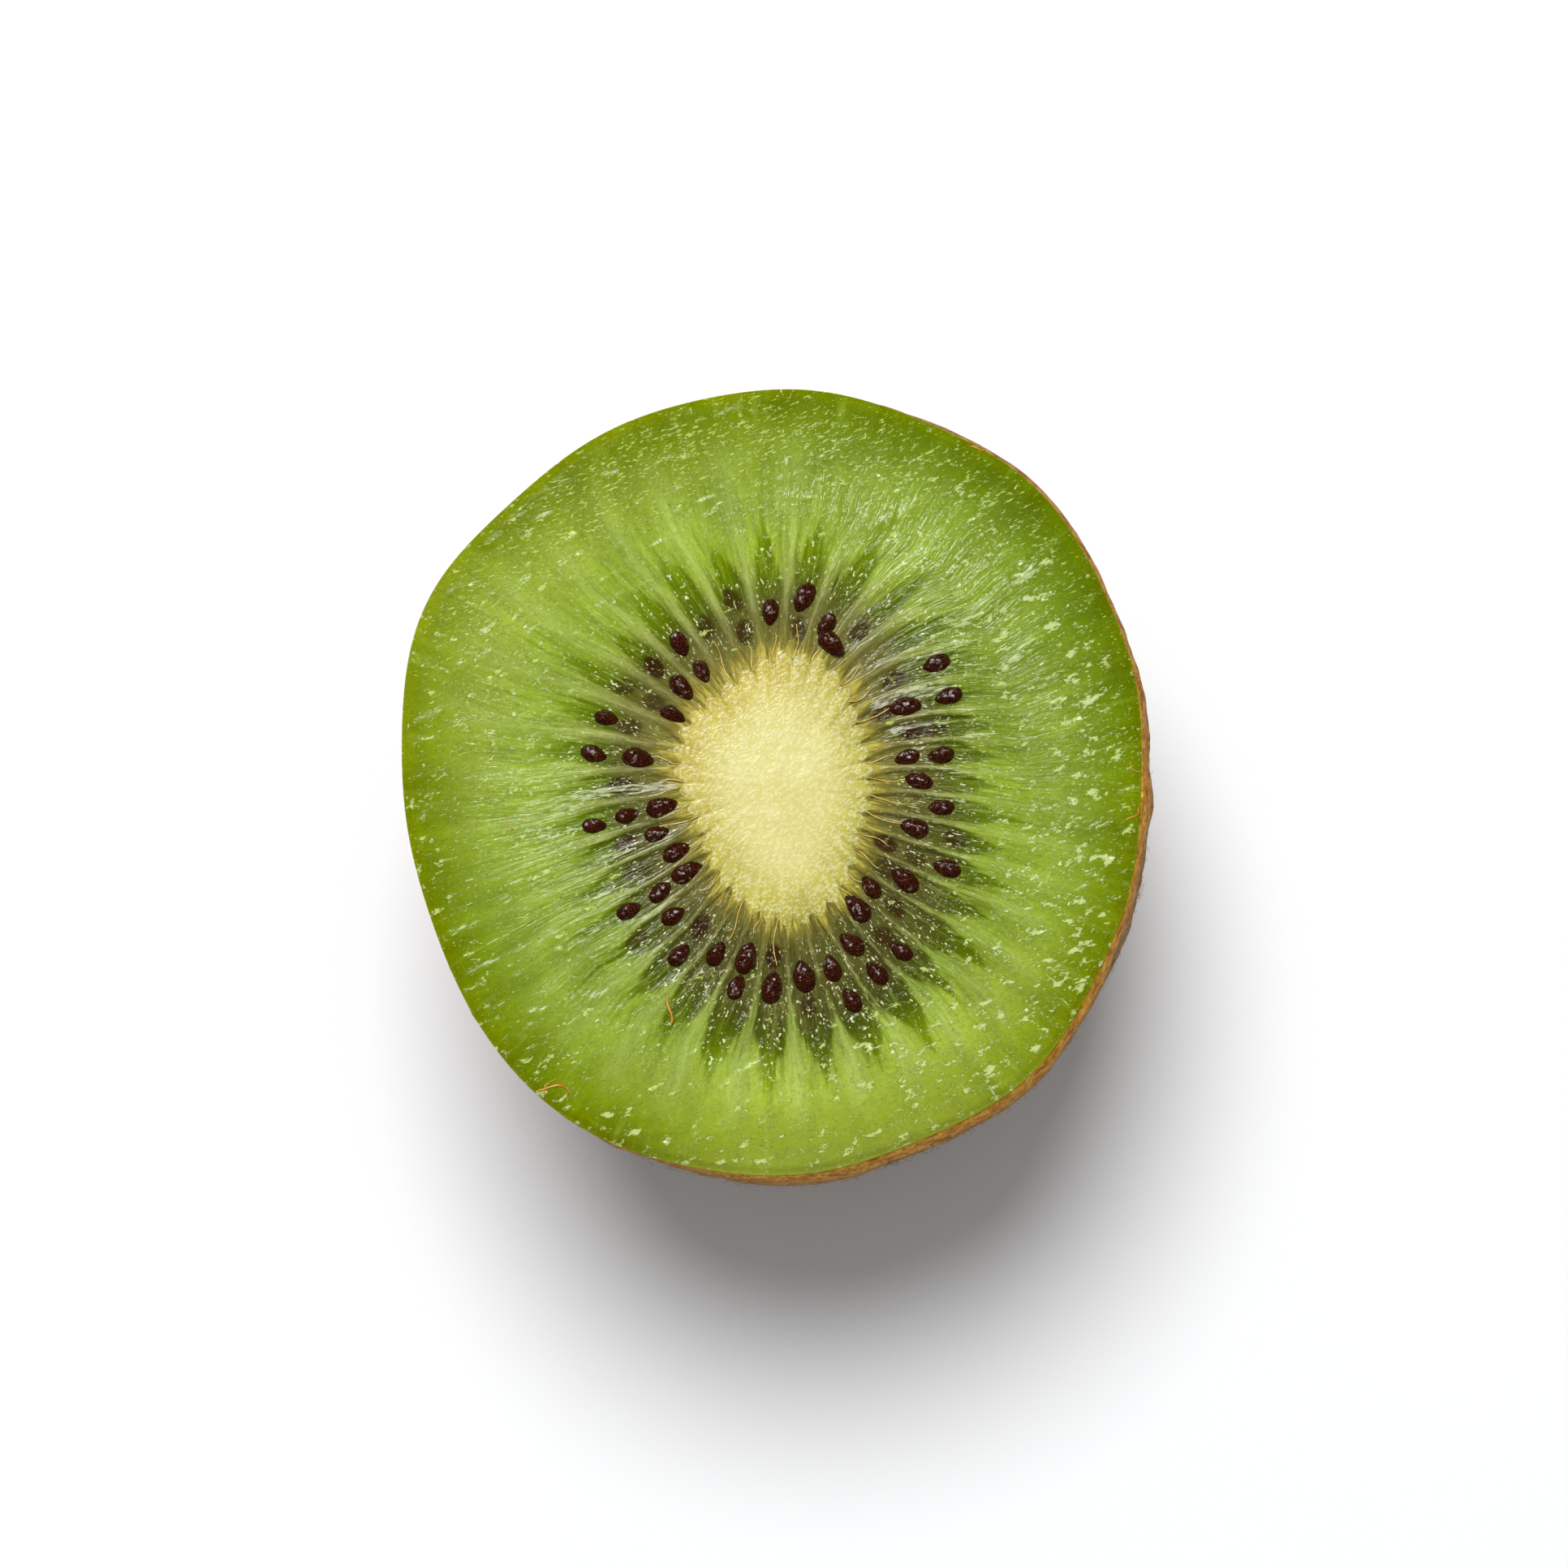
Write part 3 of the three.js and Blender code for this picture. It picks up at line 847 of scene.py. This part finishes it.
def skin_material():
    """The skin: golden with red-brown specks close under the cut, most at the front right, and brown."""
    paint = Paint("skin")
    patches = paint.noise(paint.position(1.0), 4, 0.7)
    specks = paint.step(paint.noise(paint.position(0.35), 3, 0.7), 0.5, 0.62)
    golden = paint.ramp(
        patches,
        (0.34, 144, 86, 24), (0.48, 176, 121, 34), (0.62, 200, 150, 54),
        light=SHADE_LIGHT,
    )
    golden = paint.cover(golden, (122, 64, 18, SHADE_LIGHT), specks, 0.55)
    brown = paint.ramp(
        patches,
        (0.34, 112, 80, 48), (0.50, 138, 103, 64), (0.62, 158, 124, 82),
        light=SIDE_LIGHT,
    )
    brown = paint.cover(brown, (92, 62, 36, SIDE_LIGHT), specks, 0.35)
    depth = paint.plus(paint.field("depth"), paint.times(patches, 0.12))
    ripe = paint.times(paint.step(depth, 0.28, 0.08), paint.field("golden"))
    shade = paint.blend(ripe, brown, golden)
    normal = paint.bump(specks, 0.08)
    return paint.finish(Base_Color=shade, Roughness=0.75, Specular_IOR_Level=0.1, Normal=normal)


def wandering_material(name, first, second, roughness, coat=0.0, light=DAYLIGHT):
    """A material whose colour wanders between two looks."""
    paint = Paint(name)
    wandering = paint.noise(paint.position(0.7), 3)
    shade = paint.ramp(wandering, (0.35, *first), (0.65, *second), light=light)
    return paint.finish(
        Base_Color=shade,
        Roughness=roughness,
        Specular_IOR_Level=0.1,
        Coat_Weight=coat,
        Coat_Roughness=WET_ROUGHNESS,
    )


# ---- flesh and core

FACE_COLUMNS = 18 * LOCULES
FACE_ROWS = 124
POCKET_ROWS = 6
SIDE_DEPTHS = np.array([0.003, 0.008, 0.02, 0.05, 0.1, 0.2, 0.32, 0.45, 0.6, 0.75, 0.88, 0.97])[:, None]
RAY_RADIUS = 2 * LOCULES / TURN


def body_width(depth):
    """How wide the half is at a share of its depth, against the cut: a blunt ellipse."""
    blunt = 2.25
    reach = (1 - (REST_RADIUS / FACE_RADIUS) ** blunt) ** (1 / blunt)
    return (1 - (depth * reach) ** blunt) ** (1 / blunt)


def skin_point(place, depth, inset=0):
    """A point of the skin at a share of the depth, from the cut's edge down to the flat spot."""
    angle = column_angle(place, 1)
    outline = mix(face_radius(angle), FACE_RADIUS, step(depth, 0.1, 1))
    bumps = swells(SKIN_SWELLS, angle + 2 * depth) * np.sin(math.pi * depth)
    radius = outline * body_width(depth) + bumps - inset
    height = (CUT_HEIGHT + face_height(place, 1.0)) * (1 - depth)
    return circle_at(angle, radius, height) + CHEEK * np.sin(math.pi * depth)[..., None] * [1, 0, 0]


def core_side(place, depth, gap=0):
    """A point on the core's side, or on the wall of the flesh round it."""
    angle = column_angle(place, 0)
    outline = mix(core_radius(angle) - CORE_SCALLOP * np.cos(TURN * place), CORE_RADIUS, depth)
    radius = outline * np.cos(math.pi / 2 * depth**1.3) ** 0.8 + gap
    return circle_at(angle, radius, CUT_HEIGHT - (CORE_DEPTH + gap) * depth)


def ray_positions(place, distance):
    """Positions for patterns that run along the locules."""
    return circle_at(place / LOCULES * TURN, RAY_RADIUS, distance)


def cut_fields(place, share, x, y, membrane):
    """The cut's fields, each as (values, the value in the core's pocket, the value down the side)."""
    angle = np.arctan2(y, x)
    hollows = mix(by_angle(HOLLOWS, angle), 1, step(share, 0.35, 0.65))
    large_tears, small_tears = tears(share, angle)
    return {
        "share": (share, 0, 1),
        "locule": (locule_depth(place, share, hollows), 0, 0),
        "ridged": (by_angle(RIDGES, angle), 0, 0),
        "locule_share": (share - tip_reach(place) * step(share, 0.1, 0.4), 0, 1),
        "sunk_seed": (sunk_seed_field(x, y), 0, 0),
        "membrane": (membrane, 0, 0),
        "rib": (rib_field(place, share), 0, 0),
        "glow": (glow_field(place, share, angle), 0, 0),
        "large_tears": (large_tears, 0, 0),
        "small_tears": (small_tears, 0, 0),
        "lightness": (0.5 + 0.4 * by_angle(LIGHTNESS, angle), 0.5, 0.5),
        "inner_light": (mix(by_angle(INNER_LIGHT, angle), 1, step(share, 0.4, 0.65)), 1, 1),
        "rays": (ray_positions(place, mix(CORE_RADIUS, FACE_RADIUS, share)), 0, 0),
    }


def make_flesh():
    """The cut with the pocket that the core sits in, and the flesh under the skin, as one closed body."""
    columns = places(FACE_COLUMNS)
    place, share = np.broadcast_arrays(columns, np.linspace(0, 1, FACE_ROWS)[:, None])
    face = face_point(place, share)
    x, y = face[..., 0], face[..., 1]
    inside = step(share, 0, 0.02) * (1 - step(share, 0.98, 1))
    membrane = membrane_field(place, share)
    relief = face_relief(x, y, place, share) + MEMBRANE_HEIGHT * membrane
    face[..., 2] += face_height(place, share) + relief * inside
    pocket = core_side(columns, np.linspace(1, 0, POCKET_ROWS + 2)[1:-1, None], FIT)
    inset = mix(FIT, SKIN_THICKNESS + FIT, step(SIDE_DEPTHS, 0, 0.015))
    side = skin_point(columns, SIDE_DEPTHS, inset)
    base = circle_at(column_angle(columns, 1), REST_RADIUS - SKIN_THICKNESS, SKIN_THICKNESS)
    tip = (0, 0, CUT_HEIGHT - CORE_DEPTH - FIT)
    points, faces = body_of_rings(np.concatenate([pocket, face, side, base]), tip, (0, 0, SCAR_DEPTH * 2))
    before = pocket[..., 0].size
    after = len(points) - before - place.size
    fields = {}
    for name, (values, in_pocket, on_side) in cut_fields(place, share, x, y, membrane).items():
        axes = values.shape[2:]
        fields[name] = np.concatenate([
            np.full((before, *axes), in_pocket),
            values.reshape(-1, *axes),
            np.full((after, *axes), on_side),
        ])
    make_piece("flesh_cut", points, faces, flesh_material(), "flesh", fields)


CORE_COLUMNS = 12 * LOCULES
CORE_ROWS = 70
CORE_SIDE_ROWS = 14


def make_core():
    """The core: its crowned top with a fine grain, and its side down to the rounded tip."""
    columns = places(CORE_COLUMNS)
    place, share = np.broadcast_arrays(columns, np.linspace(0, 1, CORE_ROWS + 1)[1:, None])
    edge = face_point(place, 0.0)
    x, y = edge[..., 0] * share, edge[..., 1] * share
    along, across = turned(x, y, GRAIN_TURN)
    grain = GRAIN_HEIGHT * fractal(along / 0.6, across / 0.5, 41, 2) * (1 - share**8)
    height = CUT_HEIGHT + CORE_CROWN * (1 - share**2) + face_height(place, 0.0) * share**8 + grain
    top = np.stack([x, y, height], -1)
    side = core_side(columns, np.linspace(0, 1, CORE_SIDE_ROWS + 2)[1:-1, None])
    tip = (0, 0, CUT_HEIGHT - CORE_DEPTH)
    points, faces = body_of_rings(np.concatenate([top, side]), (0, 0, CUT_HEIGHT + CORE_CROWN), tip)
    below = np.ones(len(points) - share.size)
    below[-2] = 0
    rays = ray_positions(place, mix(0, CORE_RADIUS, share)).reshape(-1, 3)
    fields = {
        "share": np.concatenate([share.ravel(), below]),
        "golden": by_angle(CORE_GOLD, np.arctan2(points[:, 1], points[:, 0])),
        "rays": np.concatenate([rays, np.zeros((len(below), 3))]),
    }
    make_piece("core_cut", points, faces, core_material(), "core", fields)


# ---- seeds, their stalks and loose fibres

SEED_SIDES = 22
SEED_RINGS = 17
PATH_POINTS = 14
STALK_RADII = (0.055, 0.03)
STALK_LIFT = 0.05


def seed_body(number):
    """A wrinkled drop with its pointed end at -X, 2 by 2 by 2."""
    along = np.cos(np.linspace(math.pi, 0, SEED_RINGS + 2)[1:-1])[:, None]
    around = -np.arange(SEED_SIDES)[None, :] / SEED_SIDES * TURN
    thickness = np.sqrt(1 - along**2) * (1 + 0.2 * along - 0.12 * along**2)
    wrinkles = 0.07 * noise(around / TURN * 6, along * 3 + 7 * number, 51, 6)
    wrinkles = wrinkles + 0.04 * noise(around / TURN * 13, along * 7 + 7 * number, 52, 13)
    thickness = thickness * (1 + wrinkles)
    bend = 0.08 * (draw(number, 17) - 0.5) * along**2
    rings = np.stack(np.broadcast_arrays(
        along,
        thickness * np.cos(around) + bend,
        thickness * np.sin(around),
    ), -1)
    return body_of_rings(rings, (-1, bend[0, 0], 0), (1, bend[-1, 0], 0))


def make_seeds():
    parts = []
    for number, (place, share, turn, size) in enumerate([LOOSE_SEED] + seeds_of(SEED_ROWS)):
        points, faces = seed_body(number)
        points = points * np.array([SEED_LENGTH, SEED_WIDTH, SEED_HEIGHT]) / 2 * size
        angle = seed_angle(place, share, turn)
        x, y = turned(points[:, 0], points[:, 1], -math.degrees(angle))
        middle = face_point(place, share)
        middle[2] += face_height(place, share) - SEED_SINK
        parts.append((np.stack([x, y, points[:, 2]], -1) + middle, faces))
    make_piece("seeds", *join(parts), seed_material(), "flesh")


def make_stalks():
    """The threads that carry the seeds, from the core's edge towards each locule's first seed."""
    parts = []
    for k in range(LOCULES):
        if STALKS[k] != "x":
            continue
        end = 0.08 + 0.12 * draw(k, 12)
        share = np.linspace(0, end, PATH_POINTS)
        wiggle = 0.1 * np.sin(share / end * 5 + 6 * draw(k, 13)) + 0.3 * (draw(k, 14) - 0.5)
        path = face_point(k + wiggle, share)
        path[:, 2] += face_height(k + wiggle, share) + STALK_LIFT
        parts.append(tube(path, np.linspace(*STALK_RADII, PATH_POINTS)))
    material = wandering_material("stalks", (206, 160, 62), (240, 218, 128), 0.4, 0.6)
    make_piece("seed_stalks", *join(parts), material, "flesh")


def make_crumbs():
    """Loose fibres lying on the cut: bent tubes that are thickest in the middle."""
    parts = []
    for number, (x, y, length, thickness, turn) in enumerate(CRUMBS):
        t = np.linspace(-0.5, 0.5, PATH_POINTS)
        bend = 0.2 * length * np.sin(4 * t + number)
        along, across = turned(t * length, bend, -turn)
        angle = np.arctan2(y + across, x + along)
        core = core_radius(angle)
        share = (np.hypot(x + along, y + across) - core) / (face_radius(angle) - core)
        height = CUT_HEIGHT + slow_height(angle, share) + 0.3 * thickness
        path = np.stack([x + along, y + across, height], -1)
        radii = thickness * (0.2 + 0.3 * np.sqrt(1 - (1.9 * t) ** 2) * (1 + 0.3 * np.sin(11 * t + number)))
        parts.append(tube(path, radii, 8))
    material = wandering_material("crumbs", (206, 128, 34), (226, 178, 80), 0.5, 0.4)
    make_piece("fibre_crumbs", *join(parts), material, "flesh")


# ---- skin and fuzz

SKIN_COLUMNS = 10 * LOCULES
SKIN_ROWS = 90
INNER_SKIN_ROWS = 14
SKIN_TOP = 0.004
STALK_RADIUS = SCAR_RADIUS / 2
SKIN_ROUGHNESS = 0.12


def skin_bumps(place, depth):
    """How far the skin stands out at a point: a flap, a bulge under the cut, and a rough surface."""
    angle = column_angle(place, 1)
    flap_angle, flap_depth, flap_reach, flap_width, flap_height = SKIN_FLAP
    from_flap = np.degrees(np.angle(np.exp(1j * (angle - math.radians(flap_angle)))))
    flap = flap_reach * np.exp(-(from_flap / flap_width) ** 2 - ((depth - flap_depth) / flap_height) ** 2)
    bulge = by_angle(SKIN_BULGE, angle) * step(depth, 0, 0.05) * (1 - step(depth, 0.3, 0.7))
    rough = SKIN_ROUGHNESS * fractal(place * 2, depth * 20, 61, 3) * step(depth, 0, 0.03)
    return flap + bulge + rough * (1 - step(depth, 0.9, 1))


def stem_scar(around):
    """Rings of the shallow scar under the fruit, with the stalk's stump in its middle."""
    scar = [
        (SCAR_RADIUS, 0),
        (SCAR_RADIUS * 0.9, SCAR_DEPTH * 0.5),
        (SCAR_RADIUS * 0.75, SCAR_DEPTH),
        (STALK_RADIUS, SCAR_DEPTH),
        (STALK_RADIUS * 0.9, SCAR_DEPTH * 0.6),
        (STALK_RADIUS * 0.7, SCAR_DEPTH * 0.5),
    ]
    return np.concatenate([circle_at(around, radius, height) for radius, height in scar])


def make_skin():
    """The skin as a thin closed shell round the flesh, from the cut's edge to the stem scar."""
    columns = places(SKIN_COLUMNS)
    downwards = np.linspace(0, 1, SKIN_ROWS)[:, None] ** 1.3
    place, depth = np.broadcast_arrays(columns, mix(SKIN_TOP, 1, downwards))
    around = column_angle(columns, 1)
    outwards = circle_at(around, 1, 0)
    outside = skin_point(place, depth) + skin_bumps(place, depth)[..., None] * outwards
    inside = skin_point(columns, np.linspace(1, SKIN_TOP, INNER_SKIN_ROWS)[:, None], SKIN_THICKNESS)
    inside[..., 2] = np.maximum(inside[..., 2], SKIN_THICKNESS - FIT)
    roof = circle_at(around, STALK_RADIUS, SCAR_DEPTH + SKIN_THICKNESS)
    rings = np.concatenate([roof, inside, outside, stem_scar(around)])
    points, faces = body_of_rings(rings, (0, 0, SCAR_DEPTH + SKIN_THICKNESS), (0, 0, SCAR_DEPTH / 2))
    fields = {
        "depth": 1 - points[:, 2] / CUT_HEIGHT,
        "golden": by_angle(SKIN_GOLD, np.arctan2(points[:, 1], points[:, 0])),
    }
    make_piece("skin", points, faces, skin_material(), "flesh", fields)


HAIRS = 17000
HAIR_RADIUS = 0.02
HAIR_LENGTHS = (0.3, 0.95)
HAIR_LIFTS = (0.1, 0.6)
HAIR_ROOT = 0.06


def make_fuzz():
    """Short hairs lying on the skin: three-sided, bent once, each a closed body."""
    number = np.arange(HAIRS)
    place = draw(number, 71) * LOCULES
    depth = mix(0.05, 0.97, draw(number, 72) ** 1.1)
    root = skin_point(place, depth)
    side = unit(skin_point(place + 0.02, depth) - root)
    down = unit(skin_point(place, depth + 0.003) - root)
    out = np.cross(down, side)
    angle = (TURN * draw(number, 73))[:, None]
    lie = unit(side * np.cos(angle) + down * (np.sin(angle) + 0.4))
    length = (mix(*HAIR_LENGTHS, draw(number, 74)) * mix(0.6, 1, step(depth, 0.05, 0.15)))[:, None]
    lift = (mix(*HAIR_LIFTS, draw(number, 75) ** 2) * (1 + step(depth, 0.05, 0.3)))[:, None]
    middle = root + (lie * 0.5 + out * 0.5 * lift) * length
    tip = root + (lie + out * 0.6 * lift) * length
    root = root - out * HAIR_ROOT
    across = np.cross(out, lie)
    corners = [
        centre + (across * math.cos(turn) + out * math.sin(turn)) * width
        for centre, width in ((root, HAIR_RADIUS), (middle, HAIR_RADIUS * 0.8))
        for turn in (0, TURN / 3, 2 * TURN / 3)
    ]
    points = np.stack(corners + [tip], 1).reshape(-1, 3)
    faces = [(2, 1, 0), (0, 1, 4, 3), (1, 2, 5, 4), (2, 0, 3, 5), (3, 4, 6), (4, 5, 6), (5, 3, 6)]
    faces = [tuple(7 * hair + i for i in face) for hair in range(HAIRS) for face in faces]
    material = wandering_material("fuzz", (150, 108, 54), (208, 168, 98), 0.6, light=SIDE_LIGHT)
    make_piece("fuzz", points, faces, material, "flesh")


# ---- floor, light and camera

# The point of the cut in the middle of the picture, in mm. Distances are metres from here on.
VIEW_MIDDLE = (0.48, 0.22)
TARGET = Vector((VIEW_MIDDLE[0] + CORE_TIP.x, VIEW_MIDDLE[1] + CORE_TIP.y, CUT_HEIGHT)) * MM
CAMERA_DIRECTION = (-90, 80)
CAMERA_DISTANCE = 0.2875
CAMERA_LENS = 100
CAMERA_SENSOR = 36
CAMERA_CLIP = (0.01, 10)
LIGHT_DISTANCE = 1.2
FLOOR_HALF = 3.0
FLOOR_WHITE = (0.92, 0.92, 0.92, 1)


def towards(azimuth, elevation):
    """The direction of a compass angle, counted from +X to +Y, and a height above the horizon."""
    a, e = math.radians(azimuth), math.radians(elevation)
    return Vector((math.cos(a) * math.cos(e), math.sin(a) * math.cos(e), math.sin(e)))


def aim(thing, direction, distance):
    """Puts a thing at a distance from the target, looking at it."""
    thing.location = TARGET + direction * distance
    thing.rotation_euler = (-direction).to_track_quat("-Z", "Y").to_euler()
    bpy.context.scene.collection.objects.link(thing)


def make_floor():
    mesh = bpy.data.meshes.new("floor")
    ends = (-FLOOR_HALF, FLOOR_HALF)
    mesh.from_pydata([(x, y, 0) for x in ends for y in ends], [], [(0, 2, 3, 1)])
    matt_white = Paint("floor").finish(Base_Color=FLOOR_WHITE, Roughness=1.0, Specular_IOR_Level=0.0)
    mesh.materials.append(matt_white)
    floor = bpy.data.objects.new("floor", mesh)
    bpy.context.scene.collection.objects.link(floor)


def make_light(name, direction, half_width, power, left_out_of):
    """A round light that fills an angle of the sky."""
    data = bpy.data.lights.new(name, "AREA")
    data.shape = "DISK"
    data.size = 2 * LIGHT_DISTANCE * math.tan(math.radians(half_width))
    data.energy = power
    data.color = COOL_WHITE
    light = bpy.data.objects.new(name, data)
    setattr(light, left_out_of, False)
    aim(light, towards(*direction), LIGHT_DISTANCE)


def make_sky():
    world = bpy.data.worlds.new("sky")
    world.use_nodes = True
    world.node_tree.nodes["Background"].inputs["Color"].default_value = SKY
    bpy.context.scene.world = world
    bpy.context.scene.view_settings.view_transform = "Standard"


def make_camera():
    data = bpy.data.cameras.new("camera")
    data.lens = CAMERA_LENS
    data.sensor_width = CAMERA_SENSOR
    data.clip_start, data.clip_end = CAMERA_CLIP
    camera = bpy.data.objects.new("camera", data)
    aim(camera, towards(*CAMERA_DIRECTION), CAMERA_DISTANCE)
    bpy.context.scene.camera = camera


make_flesh()
make_core()
make_seeds()
make_stalks()
make_crumbs()
make_skin()
make_fuzz()
make_floor()
for light_row in LIGHTS:
    make_light(*light_row)
make_sky()
make_camera()
